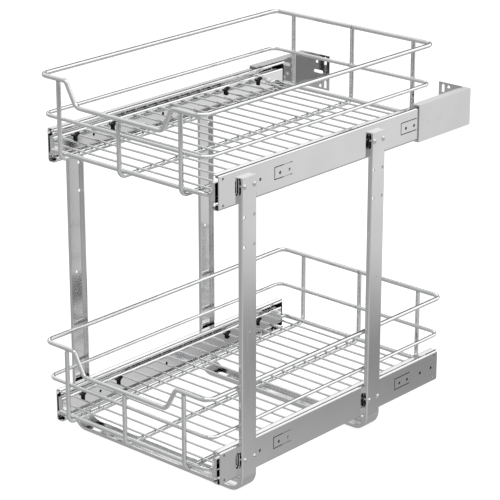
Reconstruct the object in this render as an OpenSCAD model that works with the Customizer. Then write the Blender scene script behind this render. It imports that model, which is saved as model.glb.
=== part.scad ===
// Two-tier wire pull-out basket for a kitchen base cabinet.
// Two wire baskets run on full-extension ball-bearing slides. Two U-shaped sheet-metal yokes carry the
// slides on their upright arms and stand on the cabinet's floor; two brackets tie the upper slides to
// the back of the cabinet.
// Millimetres. X is across the cabinet, +Y points into it and +Z is up. The origin lies on the floor,
// in the middle of the footprint. Places along Y are first measured back from the slides' front ends.

/* [Frame] */
// Distance across the outer faces of the slides
frame_width = 300.2; // [260:0.1:420]
// Height of the lower slides above the floor
slide_lift = 23.5; // [22:0.1:40]
// Height from the lower slides to the upper slides
tier_rise = 367; // [330:1:450]
// Distance from the front yoke to the rear yoke
yoke_spacing = 251.5; // [220:0.5:270]

/* [Yokes] */
// Place of the front yoke behind the slides' front ends
front_yoke_y = 48.6; // [45:0.1:55]
// Width of a yoke's sheet-metal channel
yoke_width = 27.7; // [26:0.1:32]
// Depth of the channel
yoke_depth = 5.8; // [5:0.1:8]
// Sheet thickness of the yokes
yoke_sheet = 1.4; // [1:0.1:2]
// Outer radius of the bends at the floor
yoke_bend = 23; // [16:0.5:24]
// How far an arm rises above the middle of the upper slide
yoke_above = 11.7; // [9:0.1:15]
// Distance between the two screw holes of a pair
screw_pair_gap = 18; // [16:0.5:20]
// Distance between the height positions of the upper slides
height_step = 39; // [30:1:60]
// Number of spare height positions below the one in use
spare_positions = 2; // [0:1:4]
// Height of the tooling hole in each arm above the floor
tooling_hole_z = 222.7; // [150:0.1:250]
// Distance between the two floor holes of a yoke
floor_hole_span = 215; // [150:1:240]
// Height of the drawn collar round a floor hole
collar_height = 1.6; // [0.5:0.1:3]

/* [Slides] */
// Length of the slides
slide_length = 450; // [400:5:520]
// Height of the slides
slide_height = 45.7; // [45:0.1:48]
// Thickness of a closed slide
slide_thickness = 12.7; // [12.5:0.1:14]
// Sheet thickness of the slide members
slide_sheet = 1.3; // [1.1:0.1:1.4]
// Diameter of the bearing balls
ball_d = 3.97; // [3.5:0.01:4.2]
// Number of balls in each row
balls_per_row = 10; // [6:1:12]
// How far the middle members stay short of the slide length at the back
middle_setback = 45; // [30:1:60]
// Height of the access opening beside each arm
access_height = 21; // [16:0.5:24]

/* [Rear brackets] */
// Overlap of a bracket along its slide
bracket_grip = 59; // [50:1:80]
// How far a bracket reaches behind its slide
bracket_reach = 55; // [30:1:80]
// Width of the flange that screws to the cabinet's back
bracket_flange = 53.2; // [50:0.1:60]
// Sheet thickness of a bracket
bracket_sheet = 1.5; // [1.2:0.1:2]
// Diameter of the fixing holes and width of the slots
fixing_hole_d = 4.8; // [4:0.1:5]

/* [Baskets] */
// Overhang of both baskets in front of the slides
basket_front = 19.8; // [16:0.1:24]
// Width of the upper basket between rim centre lines
upper_width = 280.4; // [270:0.2:290]
// Length of the upper basket between front and rear wires
upper_length = 453.8; // [400:0.2:454]
// Width of the lower basket between rim centre lines
lower_width = 294.8; // [270:0.2:295]
// Length of the lower basket between front and rear wires
lower_length = 479.8; // [420:0.2:482]
// Height of the top rim above the slide's lower edge
rim_height = 123; // [110:0.5:150]
// Height of the middle rim above the slide's lower edge
mid_rim_height = 69; // [60:0.5:80]
// Depth of the dip in the front of the top rim
dip_depth = 33; // [25:1:40]
// Half width of the flat floor of the dip
dip_floor = 75; // [60:1:78]
// Diameter of the rim wires
rim_d = 4.5; // [4:0.1:5]
// Diameter of the long wires and end wires
frame_wire_d = 5; // [4.5:0.1:5.5]
// Diameter of the cross wires
cross_wire_d = 2.9; // [2.5:0.1:3.2]
// Height of the long wires above the slide's lower edge
long_wire_z = 16.3; // [15:0.1:18]
// Distance from the middle long wire to the outer ones
long_wire_x = 106; // [100:1:110]
// Distance between cross wires
cross_pitch = 23.35; // [22.6:0.05:23.5]
// Place of the first cross wire behind the slides' front ends
first_cross_y = 13.5; // [12:0.1:15]

/* [Hidden] */
$fn = 48;
eps = 0.01;

// Working clearances
weld_gap = 0.05;        // between wires that are welded where they cross or meet
side_gap = 0.3;         // between sheet parts that slide past each other
ball_play = 0.06;       // radial play of a ball in its raceway and pocket
wire_seat = 0.1;        // between a wire's end and the slide that carries it

// Screws
screw_d = 4;
screw_head_d = 7.2;
screw_head_h = 1.5;
screw_hole_d = 4.2;

// Places along Y are measured from the slides' front ends and moved by depth_shift
bracket_rear_y = slide_length + bracket_reach;
basket_front_y = -basket_front;
depth_shift = -(bracket_rear_y + basket_front_y - frame_wire_d / 2) / 2;
yoke_y = [front_yoke_y, front_yoke_y + yoke_spacing];
bracket_screw_y = [slide_length - 38.7, slide_length - 14];

// Heights, by tier
lower = 0;
upper = 1;
slide_z = [slide_lift, slide_lift + tier_rise];
slide_centre = [for (z = slide_z) z + slide_height / 2];

// Across: slide_face is the outer face of a slide, slide_inside the face towards the basket
slide_face = frame_width / 2;
slide_inside = slide_face - slide_thickness;
yoke_face = slide_face + yoke_depth;
channel_bend = 2;       // outer radius of the yoke channel's own corners

// Slide section, measured outward from slide_inside and up from the slide's middle
half_height = slide_height / 2;
groove_depth = 0.15;    // how deep a ball sits in the face of a raceway
cage_sheet = 0.6;
ball_r = ball_d / 2;
ball_x = slide_thickness / 2;
outer_ball_z = half_height - slide_sheet - ball_r + groove_depth;
middle_flange_z = outer_ball_z - ball_r + groove_depth - slide_sheet / 2;
inner_ball_z = middle_flange_z - slide_sheet / 2 - ball_r + groove_depth;
inner_flange_z = inner_ball_z - ball_r + groove_depth - slide_sheet / 2;
web_gap = cage_sheet + 2 * side_gap;
outer_web_x = slide_thickness - slide_sheet / 2;
outer_cage_x = slide_thickness - slide_sheet - web_gap / 2;
middle_web_x = outer_web_x - slide_sheet - web_gap;
inner_cage_x = middle_web_x - slide_sheet / 2 - web_gap / 2;
inner_tip_x = inner_cage_x - cage_sheet / 2 - side_gap;
middle_tip_x = slide_sheet * 1.5 + 0.5;
outer_arm_x = middle_tip_x + slide_sheet / 2 + 0.5;
inner_arm_x = 2;
outer_bend = 2.4;
middle_bend = 1.6;
lip_bend = 0.9;
inner_bend = 2;

// Slide members along Y. The balls travel at the mean speed of the two members that they run between.
middle_front_y = 5;
middle_length = slide_length - middle_setback - middle_front_y;
inner_front_y = -1.3;
inner_rear_y = slide_length - 4;
outer_cage_front = slide_length / 4 + 8;
outer_cage_length = middle_length - slide_length / 2 - 10;
inner_cage_front = slide_length / 4 + middle_front_y + 8;
inner_cage_length = middle_length - slide_length / 2 + 30;
cage_end = 8;           // bare cage beyond the first and last ball
stop_depth = 3;         // thickness of the rear stops

// Basket wires
basket_half = [lower_width / 2, upper_width / 2];
basket_rear_y = [basket_front_y + lower_length, basket_front_y + upper_length];
dip_top = dip_floor + dip_depth * 3 / 4;        // the dip's sides rise 4 for 3 across
rim_bend = 12;
wire_bend = 10;
hook_bend = 20;
hook_slope = 17.5;
end_wire_inset = 7;
cross_z = long_wire_z + (frame_wire_d + cross_wire_d) / 2 + weld_gap;
web_face = slide_inside - wire_seat;
clip_y = [37, 105, slide_length - 124.5, slide_length - 56.5];

// ---------- outlines ----------

function unit(v) = v / norm(v);
function direction(path, i) = unit(path[i + 1] - path[i]);

// Points along an arc in the plane, both ends included
function arc(centre, radius, from, to, steps = 5) =
    [for (i = [0:steps]) let (a = from + (to - from) * i / steps) centre + radius * [cos(a), sin(a)]];

// Outline of sheet metal seen on edge, bent along a centre line
function beside(path, i, distance) =
    let (before = direction(path, max(i - 1, 0)),
         after = direction(path, min(i, len(path) - 2)),
         along = unit(before + after))
    path[i] + distance / (along * before) * [-along.y, along.x];
function strip(path, thickness) = concat(
    [for (i = [0:len(path) - 1]) beside(path, i, thickness / 2)],
    [for (i = [len(path) - 1:-1:0]) beside(path, i, -thickness / 2)]);

// Mirror a section's upper half onto its lower half, from the lower tip to the upper tip
function both_halves(upper_half) = concat(
    [for (i = [len(upper_half) - 1:-1:0]) [upper_half[i].x, -upper_half[i].y]], upper_half);

// Rectangle from a low corner to a high corner, with rounded corners
function rounded(low, high, r) = concat(
    arc([low.x + r, low.y + r], r, 180, 270), arc([high.x - r, low.y + r], r, 270, 360),
    arc([high.x - r, high.y - r], r, 0, 90), arc([low.x + r, high.y - r], r, 90, 180));

// ---------- placing ----------

// Move a piece from slide places to the frame's origin
module placed() { translate([0, depth_shift, 0]) children(); }

// Draw for the right side (side = 1) or mirrored for the left (side = -1)
module on_side(side) { if (side < 0) mirror([1, 0, 0]) children(); else children(); }

// Extrude a section drawn in X and Z along Y
module along_y(from, length) { translate([0, from + length, 0]) rotate([90, 0, 0]) linear_extrude(length) children(); }

// Round hole along X, centred
module hole_x(x, y, z, d, depth) { translate([x, y, z]) rotate([0, 90, 0]) cylinder(d = d, h = depth, center = true); }

// Slot with round ends, long in X, cut through along Z, centred
module slot(length, width, depth) {
    linear_extrude(depth, center = true) {
        square([length - width, width], center = true);
        for (s = [-1, 1]) translate([s * (length - width) / 2, 0]) circle(d = width);
    }
}

// ---------- wires ----------

// A wire follows a path of corner points, with a round bend at each inner point. It is drawn as a chain:
// each straight run stands along Z and ends in its bend, and the rest of the wire goes on from there.
function turn(path, i) = acos(direction(path, i - 1) * direction(path, i));
function inward(path, i) =
    let (go = direction(path, i - 1), leave = direction(path, i)) unit(leave - (leave * go) * go);
function set_back(path, radii, i) = i == 0 || i == len(path) - 1 ? 0 : radii[i - 1] * tan(turn(path, i) / 2);

// How far the next bend is rolled round the wire from the one at point i
function roll(path, i) =
    let (x = inward(path, i) * cos(turn(path, i)) - direction(path, i - 1) * sin(turn(path, i)),
         next = inward(path, i + 1))
    atan2(cross(x, next) * direction(path, i), x * next);

// Each bend is drawn a little too long and cut square where the rest of the wire begins.
module wire_from(path, d, radii, i) {
    run = norm(path[i] - path[i - 1]) - set_back(path, radii, i - 1) - set_back(path, radii, i);
    cylinder(d = d, h = run);
    if (i < len(path) - 1) {
        radius = radii[i - 1];
        angle = turn(path, i);
        translate([radius, 0, run]) {
            difference() {
                rotate([90, 0, 180]) rotate_extrude(angle = angle + bend_excess)
                    translate([radius, 0]) circle(d = d);
                rotate([0, angle, 0]) translate([-radius - d, -d, 0]) cube(2 * d);
            }
            rotate([0, angle, 0]) translate([-radius, 0, 0])
                rotate([0, 0, i < len(path) - 2 ? roll(path, i) : 0]) wire_from(path, d, radii, i + 1);
        }
    }
}
bend_excess = 10;       // degrees

module wire(path, d, radii) {
    z = direction(path, 0);
    x = inward(path, 1);
    y = cross(z, x);
    multmatrix([[x.x, y.x, z.x, path[0].x], [x.y, y.y, z.y, path[0].y], [x.z, y.z, z.z, path[0].z], [0, 0, 0, 1]])
        wire_from(path, d, radii, 1);
}

// ---------- yokes ----------

// Section of a yoke's channel: its web on the outside, its open side at x = 0
module channel_section() {
    half = (yoke_width - yoke_sheet) / 2;
    web_x = yoke_depth - yoke_sheet / 2;
    r = channel_bend - yoke_sheet / 2;
    path = both_halves(concat(arc([web_x - r, half - r], r, 0, 90), [[0, half]]));
    polygon(strip(path, yoke_sheet));
}

module yoke(row) {
    top = slide_centre[upper] + yoke_above;
    floor_half = yoke_face - yoke_bend;
    collar_d = fixing_hole_d + 2 * yoke_sheet + 1;
    color("silver") placed() translate([0, yoke_y[row], 0]) difference() {
        union() {
            for (side = [-1, 1]) on_side(side) {
                translate([slide_face, 0, yoke_bend]) linear_extrude(top - yoke_bend) channel_section();
                translate([floor_half, 0, yoke_bend]) rotate([-90, 0, 0]) rotate_extrude(angle = 90)
                    translate([yoke_bend - yoke_depth, 0]) channel_section();
                // closed top
                translate([slide_face, -yoke_width / 2 + channel_bend, top - yoke_sheet])
                    cube([yoke_depth - yoke_sheet / 2, yoke_width - 2 * channel_bend, yoke_sheet]);
                translate([floor_hole_span / 2, 0, 0]) cylinder(d = collar_d, h = yoke_sheet + collar_height);
            }
            translate([-floor_half, 0, yoke_depth]) rotate([0, 90, 0])
                linear_extrude(2 * floor_half) channel_section();
        }
        for (side = [-1, 1]) on_side(side) {
            translate([floor_hole_span / 2, 0, -eps]) cylinder(d = fixing_hole_d, h = yoke_depth);
            for (z = arm_hole_heights) for (s = [-1, 1]) hole_x(yoke_face, s * screw_pair_gap / 2, z, screw_hole_d, 6);
            hole_x(yoke_face, 0, tooling_hole_z, screw_hole_d, 6);
            // access opening through the front flange, level with each slide
            for (z = slide_centre) translate([slide_face, -yoke_width / 2, z])
                rotate([90, 90, 0]) slot(access_height, 2 * (yoke_depth - yoke_sheet), 2 * channel_bend);
        }
    }
}
arm_hole_heights = concat([slide_centre[lower]],
    [for (i = [0:spare_positions]) slide_centre[upper] - i * height_step]);

// ---------- rear brackets ----------

// Drawn for the left side. The holes lie alike above and below the middle, so that the right bracket
// is the same part turned upside down.
module rear_bracket(side) {
    lip = 12.5;
    over = 2.8;                                     // how far it stands above and below its slide
    length = bracket_grip + bracket_reach;
    height = slide_height + 2 * over;
    round_holes = [[29.9, 14.2], [36.5, 20.6]];     // in from the side, and up or down from the middle
    upright_slot = [45.9, 17.4];                    // the same
    level_slot_x = 32.8;
    relief_y = length - 7.5;                        // notch in the lips in front of the rear flange
    x0 = -slide_face - bracket_sheet;
    color("gray") placed() translate([0, bracket_rear_y - length, slide_centre[upper]])
        rotate([0, side > 0 ? 180 : 0, 0]) difference() {
            union() {
                translate([x0, 0, -height / 2]) cube([bracket_sheet, length, height]);
                for (z = [-height / 2, height / 2 - bracket_sheet])
                    translate([x0, 0, z]) cube([lip, length, bracket_sheet]);
                translate([x0, length - bracket_sheet, -height / 2]) cube([bracket_flange, bracket_sheet, height]);
            }
            translate([x0, length, 0]) rotate([90, 0, 0]) {
                translate([level_slot_x, 0]) slot(17.6, fixing_hole_d, 6);
                for (s = [-1, 1]) {
                    for (h = round_holes) translate([h.x, s * h.y]) cylinder(d = fixing_hole_d, h = 6, center = true);
                    translate([upright_slot.x, s * upright_slot.y]) rotate(90) slot(12.4, fixing_hole_d, 6);
                }
            }
            translate([x0 + lip, relief_y, 0]) cylinder(d = fixing_hole_d, h = height + 2, center = true);
            for (y = bracket_screw_y) hole_x(x0, y - bracket_rear_y + length, 0, screw_hole_d, 6);
        }
}

// ---------- screws ----------

// Screw along X, pointing to -X, its domed head standing on the plane x = 0
module screw(length) {
    dome_r = (pow(screw_head_d / 2, 2) + pow(screw_head_h, 2)) / (2 * screw_head_h);
    rotate([0, 90, 0]) {
        translate([0, 0, -length]) cylinder(d = screw_d, h = length + eps);
        rotate_extrude() intersection() {
            translate([0, screw_head_h - dome_r]) circle(r = dome_r);
            square([screw_head_d / 2, screw_head_h]);
        }
    }
}

module yoke_screws() {
    color("gainsboro") placed() for (side = [-1, 1]) on_side(side)
        for (y = yoke_y) for (s = [-1, 1]) for (z = slide_centre)
            translate([yoke_face, y + s * screw_pair_gap / 2, z]) screw(yoke_depth + slide_sheet);
}

module bracket_screws() {
    color("gainsboro") placed() for (side = [-1, 1]) on_side(side) for (y = bracket_screw_y)
        translate([slide_face - slide_sheet, y, slide_centre[upper]]) mirror([1, 0, 0])
            screw(slide_sheet + bracket_sheet);
}

// ---------- slides ----------

outer_path = both_halves(concat(
    arc([outer_web_x - outer_bend, half_height - slide_sheet / 2 - outer_bend], outer_bend, 0, 90),
    arc([slide_sheet / 2 + outer_bend, half_height - slide_sheet / 2 - outer_bend], outer_bend, 90, 180)));

middle_path = both_halves(concat(
    arc([middle_web_x - middle_bend, middle_flange_z - middle_bend], middle_bend, 0, 90),
    arc([middle_tip_x + lip_bend, middle_flange_z + lip_bend], lip_bend, 270, 180),
    [[middle_tip_x, outer_ball_z + 0.5]]));

inner_path = both_halves(concat(
    arc([slide_sheet / 2 + inner_bend, inner_flange_z - inner_bend], inner_bend, 180, 90),
    [[inner_tip_x, inner_flange_z]]));

outer_cage_path = both_halves([[outer_cage_x, outer_ball_z], [outer_arm_x, outer_ball_z]]);
inner_cage_path = both_halves([[inner_cage_x, inner_ball_z], [inner_arm_x, inner_ball_z]]);

// Section of a slide member with its raceways
module member_section(path, rows) {
    difference() {
        polygon(strip(path, slide_sheet));
        for (z = rows) for (s = [-1, 1]) translate([ball_x, s * z]) circle(r = ball_r + ball_play);
    }
}

// Put a slide piece, drawn outward from the slide's inside face, in its place
module in_slide(side, tier) {
    placed() on_side(side) translate([slide_inside, 0, slide_centre[tier]]) children();
}

// Tongue lanced out of an outer member's web: slits along its top and bottom and across its front
module tongue_slits(y) {
    length = 34;
    rise = 9.5;
    drop = 7.5;
    slit = 1.2;
    for (z = [-drop, rise - slit]) translate([outer_web_x - slide_sheet, y, z]) cube([2 * slide_sheet, length, slit]);
    translate([outer_web_x - slide_sheet, y, -drop]) cube([2 * slide_sheet, slit, rise + drop]);
}

module outer_slide(side, tier) {
    access_ahead = 16;      // from an arm's middle forward to the middle of the access opening
    access_width = 7.5;
    end_hole_y = 7.5;
    end_hole_z = 17;
    front_tongue_y = 101.2;
    rear_tongue_y = slide_length - 96.4;
    hole_y = concat([75.2], [for (y = [front_tongue_y, rear_tongue_y]) for (d = [11, 28.5]) y + d], bracket_screw_y,
        [for (y = yoke_y) for (s = [-1, 1]) y + s * screw_pair_gap / 2]);
    color("silver") in_slide(side, tier) difference() {
        along_y(0, slide_length) member_section(outer_path, [outer_ball_z]);
        for (z = [-end_hole_z, end_hole_z]) for (y = [end_hole_y, slide_length - end_hole_y])
            hole_x(slide_thickness, y, z, 3.2, 6);
        for (y = hole_y) hole_x(slide_thickness, y, 0, screw_hole_d, 6);
        tongue_slits(front_tongue_y);
        tongue_slits(rear_tongue_y);
        for (y = yoke_y) translate([slide_thickness, y - access_ahead, 0])
            rotate([0, 90, 0]) slot(access_height, access_width, 6);
    }
}

module middle_slide(side, tier) {
    color("lightgray") in_slide(side, tier) difference() {
        along_y(middle_front_y, middle_length) member_section(middle_path, [outer_ball_z, inner_ball_z]);
        for (y = [middle_front_y + 60, middle_front_y + middle_length - 40]) hole_x(middle_web_x, y, 0, 9, 4);
    }
}

module inner_slide(side, tier) {
    color("gainsboro") in_slide(side, tier) difference() {
        along_y(inner_front_y, inner_rear_y - inner_front_y) member_section(inner_path, [inner_ball_z]);
        for (y = [70, 200, 330]) hole_x(slide_sheet / 2, y, 0, screw_hole_d, 4);
    }
}

// Places of the balls of one row
function ball_places(front, length) =
    [for (i = [0:balls_per_row - 1]) front + cage_end + (length - 2 * cage_end) * i / (balls_per_row - 1)];

module cage(side, tier, path, row, front, length) {
    color("dimgray") in_slide(side, tier) difference() {
        along_y(front, length) polygon(strip(path, cage_sheet));
        for (y = ball_places(front, length)) for (s = [-1, 1])
            translate([ball_x, y, s * row]) cylinder(r = ball_r + ball_play, h = 2, center = true);
    }
}

module balls(tier, row, front, length) {
    color("white") for (side = [-1, 1]) in_slide(side, tier)
        for (y = ball_places(front, length)) for (s = [-1, 1]) translate([ball_x, y, s * row]) sphere(r = ball_r);
}

// Black plastic end piece on the front of each middle member
module front_bumpers(tier) {
    wide_half = 14;
    narrow_half = inner_flange_z - slide_sheet / 2 - side_gap;
    narrow_x = 5.6;
    front = -0.4;
    length = middle_front_y - weld_gap - front;
    color("#181818") for (side = [-1, 1]) in_slide(side, tier) difference() {
        along_y(front, length) {
            polygon(rounded([inner_cage_x - side_gap, -wide_half], [outer_cage_x, wide_half], 1));
            polygon(rounded([narrow_x, -narrow_half], [inner_cage_x, narrow_half], 1));
        }
        translate([(narrow_x + inner_cage_x) / 2 + 0.5, front, 0]) rotate([90, 0, 0]) slot(2, 1.9, 4);
    }
}

// Black plastic stop in the rear end of each outer member
module slide_rear_stops() {
    tall = outer_ball_z - 1;
    color("#181818") for (side = [-1, 1]) for (tier = [lower, upper]) in_slide(side, tier)
        along_y(slide_length - stop_depth, stop_depth)
            polygon(rounded([slide_sheet + side_gap, -tall], [slide_thickness - slide_sheet, tall], 1.5));
}

// ---------- baskets ----------

// Heights below are measured up from the slide's lower edge
module in_tier(tier) { placed() translate([0, 0, slide_z[tier]]) children(); }

// Each half of the top rim runs from the middle of the dip to the weld at the back
module top_rim(tier) {
    half = basket_half[tier];
    front = basket_front_y;
    rear = basket_rear_y[tier];
    z = rim_height;
    path = [[0, front, z - dip_depth], [dip_floor, front, z - dip_depth], [dip_top, front, z], [half, front, z],
        [half, rear, z], [weld_gap / 2, rear, z]];
    color("whitesmoke") in_tier(tier) for (side = [-1, 1]) on_side(side)
        wire(path, rim_d, [for (i = [2:len(path) - 1]) rim_bend]);
}

// The middle rim lies inside the upright legs of the long wires
module middle_rim(tier) {
    half = basket_half[tier];
    inset = (frame_wire_d + rim_d) / 2 + weld_gap;
    front = basket_front_y + inset;
    rear = basket_rear_y[tier] - inset;
    z = mid_rim_height;
    path = [[-weld_gap / 2, rear, z], [-half, rear, z], [-half, front, z], [half, front, z], [half, rear, z],
        [weld_gap / 2, rear, z]];
    color("whitesmoke") in_tier(tier) wire(path, rim_d, [for (i = [2:len(path) - 1]) rim_bend]);
}

// Long wire under the basket's floor, its two ends turned up to the top rim
module long_wire(tier, x) {
    front = basket_front_y;
    rear = basket_rear_y[tier];
    top = rim_height - rim_d / 2 - weld_gap;
    front_top = abs(x) < dip_floor ? top - dip_depth : top;
    color("whitesmoke") in_tier(tier) wire([[x, front, front_top], [x, front, long_wire_z],
        [x, rear, long_wire_z], [x, rear, top]], frame_wire_d, [wire_bend, wire_bend]);
}

// End wires rest on the long wires; their ends turn in along the slides' inner members
module front_end_wire(tier) {
    half = web_face - frame_wire_d / 2;
    seat = wire_bend - frame_wire_d - weld_gap;
    y = basket_front_y + end_wire_inset;
    z = long_wire_z + wire_bend - sqrt(seat * seat - pow(wire_bend - end_wire_inset, 2));
    tail = (hook_bend + 2) * [0, cos(hook_slope), -sin(hook_slope)];
    color("whitesmoke") in_tier(tier) wire([[-half, y, z] + tail, [-half, y, z], [half, y, z], [half, y, z] + tail],
        frame_wire_d, [hook_bend, hook_bend]);
}

module rear_end_wire(tier) {
    half = web_face - frame_wire_d / 2;
    y = basket_rear_y[tier] - wire_bend;
    z = long_wire_z + frame_wire_d + weld_gap;
    tail = [0, -wire_bend - 1, 0];
    color("whitesmoke") in_tier(tier) wire([[-half, y, z] + tail, [-half, y, z], [half, y, z], [half, y, z] + tail],
        frame_wire_d, [wire_bend, wire_bend]);
}

function cross_count(tier) =
    floor((basket_rear_y[tier] - wire_bend - frame_wire_d - cross_wire_d - first_cross_y) / cross_pitch) + 1;

module cross_wires(tier) {
    color("whitesmoke") in_tier(tier) for (i = [0:cross_count(tier) - 1])
        translate([0, first_cross_y + i * cross_pitch, cross_z]) rotate([0, 90, 0])
            cylinder(d = cross_wire_d, h = 2 * web_face, center = true);
}

// Black plastic clips snapped onto the inner members, just above the cross wires. Each has a foot,
// a head that leans back and a short arm to the front.
module wire_clips(tier) {
    depth = 5;
    seat = cross_z + cross_wire_d / 2 + weld_gap;
    outline = [[-2, 0], [2.4, 0], [1.6, 6.4], [7.8, 10.4], [6.2, 12.6], [-1.6, 9.8], [-6.8, 9.8], [-7, 6.6], [-2.4, 6]];
    color("#181818") for (side = [-1, 1]) in_tier(tier) on_side(side)
        for (y = clip_y) translate([slide_inside - depth, y, seat])
            rotate([90, 0, 90]) linear_extrude(depth) polygon(outline);
}

// ---------- drawing ----------

yoke(0);  // front_yoke
yoke(1);  // rear_yoke
rear_bracket(-1);  // left_rear_bracket
rear_bracket(1);  // right_rear_bracket
yoke_screws();
bracket_screws();
slide_rear_stops();
for (tier = [lower, upper]) {
    name = tier == upper ? "upper" : "lower";
    for (side = [-1, 1]) {
        which = str(name, side < 0 ? "_left" : "_right");
        outer_slide(side, tier);
        middle_slide(side, tier);
        inner_slide(side, tier);
        cage(side, tier, outer_cage_path, outer_ball_z, outer_cage_front, outer_cage_length);
        cage(side, tier, inner_cage_path, inner_ball_z, inner_cage_front, inner_cage_length);
        long_wire(tier, side * long_wire_x);
    }
    long_wire(tier, 0);
    balls(tier, outer_ball_z, outer_cage_front, outer_cage_length);
    balls(tier, inner_ball_z, inner_cage_front, inner_cage_length);
    front_bumpers(tier);
    wire_clips(tier);
    top_rim(tier);
    middle_rim(tier);
    front_end_wire(tier);
    rear_end_wire(tier);
    cross_wires(tier);
}
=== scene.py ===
"""Finishes, drawn wires, small parts and studio of a two-tier pull-out cabinet basket.

The sheet metal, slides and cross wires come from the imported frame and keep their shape. This script
gives them their finish, draws the baskets' other wires with their welds, and makes the screws, clips,
bumper strips and end tabs. It also sets up the floor, the light and the camera. Lengths are in metres,
angles in radians.
"""

import logging
import math
import random
from dataclasses import dataclass
from enum import Enum, StrEnum
from itertools import product
from typing import Iterable, Sequence

import bmesh
import bpy
from mathutils import Matrix, Vector

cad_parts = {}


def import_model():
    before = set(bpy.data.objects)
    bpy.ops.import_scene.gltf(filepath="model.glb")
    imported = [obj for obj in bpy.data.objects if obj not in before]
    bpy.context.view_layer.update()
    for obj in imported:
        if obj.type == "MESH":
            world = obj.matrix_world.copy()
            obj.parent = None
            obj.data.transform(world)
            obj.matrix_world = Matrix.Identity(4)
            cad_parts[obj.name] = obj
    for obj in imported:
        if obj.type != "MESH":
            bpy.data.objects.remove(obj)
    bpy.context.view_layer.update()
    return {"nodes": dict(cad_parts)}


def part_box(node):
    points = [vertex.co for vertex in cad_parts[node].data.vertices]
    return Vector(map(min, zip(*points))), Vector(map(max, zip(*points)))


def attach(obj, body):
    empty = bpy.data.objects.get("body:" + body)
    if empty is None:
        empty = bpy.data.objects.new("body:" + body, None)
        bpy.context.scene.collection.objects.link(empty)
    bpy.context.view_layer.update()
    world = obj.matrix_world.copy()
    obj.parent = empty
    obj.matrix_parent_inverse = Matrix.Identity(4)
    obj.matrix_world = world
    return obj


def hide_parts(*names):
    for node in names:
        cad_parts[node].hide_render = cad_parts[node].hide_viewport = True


LOG = logging.getLogger("pull_out_basket")
MM = 0.001
SHARP_EDGE = math.radians(35.0)
YOKES = ("front_yoke", "rear_yoke")
LONG_WIRES = ("left", "centre", "right")
MEMBER_FINISHES = {
    "outer_slide": "slide_zinc",
    "middle_slide": "bright_slide_zinc",
    "inner_slide": "bright_slide_zinc",
    "outer_cage": "cage_zinc",
    "inner_cage": "cage_zinc",
}

Colour = tuple[float, float, float]
Size = tuple[float, float, float]
Span = tuple[float, float]
Outline = Sequence[tuple[float, float]]
Box = tuple[Vector, Vector]
Seat = tuple[Vector, Vector]
Socket = bpy.types.NodeSocket
Group = bpy.types.NodeTree
Piece = bpy.types.Object
Maker = bmesh.types.BMesh
Loops = Sequence[Sequence[bmesh.types.BMVert]]


class Tier(StrEnum):
    """The two baskets, by the first word of their nodes and bodies."""

    LOWER = "lower"
    UPPER = "upper"


class Side(Enum):
    """The two sides of the frame, with the sign of X on each."""

    LEFT = -1
    RIGHT = 1

    @property
    def word(self) -> str:
        """The side's name in node names."""
        return self.name.lower()

    def outward(self) -> Vector:
        """The direction that points away from the basket on this side."""
        return Vector((self.value, 0.0, 0.0))

    def outer_face(self, box: Box) -> float:
        """Place along X of a box's face that is turned away from the basket."""
        return box[1].x if self is Side.RIGHT else box[0].x

    def inner_face(self, box: Box) -> float:
        """Place along X of a box's face that is turned to the basket."""
        return box[0].x if self is Side.RIGHT else box[1].x


class Grain(Enum):
    """How sheet was rolled, as the stretch of its grain along X, Y and Z."""

    ALONG_Y = (40.0, 1.0, 40.0)
    ALONG_Z = (40.0, 40.0, 1.0)


# --- shader building blocks ---


@dataclass
class NodeBoard:
    """Short calls that place and join nodes in the tree of a material, world or group."""

    tree: Group

    def feed(self, target: Socket, source: object) -> None:
        """Join an input to an output, or set it to a plain value.

        Args:
            target: The input.
            source: An output socket or a plain value.
        """
        if isinstance(source, Socket):
            self.tree.links.new(source, target)
        else:
            target.default_value = source

    def add(self, kind: str, *feeds: object, **values: object) -> bpy.types.Node:
        """Place a node, set its properties and feed its inputs.

        Args:
            kind: Blender's type name of the node.
            *feeds: What the first inputs get, in their order.
            **values: Properties and what other inputs get, by name with underscores for spaces.

        Returns:
            The new node.
        """
        node = self.tree.nodes.new(kind)
        for name, value in values.items():
            if hasattr(node, name):
                setattr(node, name, value)
            else:
                self.feed(node.inputs[name.replace("_", " ")], value)
        for socket, value in zip(node.inputs, feeds):
            self.feed(socket, value)
        return node

    def place(self, group: Group, **values: object) -> Socket:
        """Place a shader node group and return its one output."""
        return self.add("ShaderNodeGroup", node_tree=group, **values).outputs[0]

    def noise(self, place: Socket, scale: Socket, detail: float, roughness: float) -> Socket:
        """Noise at a place on the surface, with as many finer layers as detail says."""
        node = self.add("ShaderNodeTexNoise", Vector=place, Scale=scale, Detail=detail, Roughness=roughness)
        return node.outputs["Fac"]

    def spread(self, source: Socket, given: Span, wanted: tuple[object, object]) -> Socket:
        """Map the given range of a value onto the wanted one."""
        return self.add("ShaderNodeMapRange", source, *given, *wanted).outputs["Result"]

    def step(self, source: Socket, edge: Span) -> Socket:
        """A soft step, from 0 at the start of the edge to 1 at its end."""
        node = self.add("ShaderNodeMapRange", source, *edge, interpolation_type="SMOOTHSTEP")
        return node.outputs["Result"]

    def mix(self, mask: Socket, without: object, within: object, kind: str = "FLOAT") -> Socket:
        """Blend two values, or two colours if kind is RGBA, by a mask."""
        return self.add("ShaderNodeMix", data_type=kind, Factor=mask, A=without, B=within).outputs["Result"]

    def bump(self, height: Socket, depth: float) -> Socket:
        """The normals of a surface whose relief is as deep as given, in metres."""
        return self.add("ShaderNodeBump", Height=height, Strength=1.0, Distance=depth).outputs["Normal"]


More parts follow.
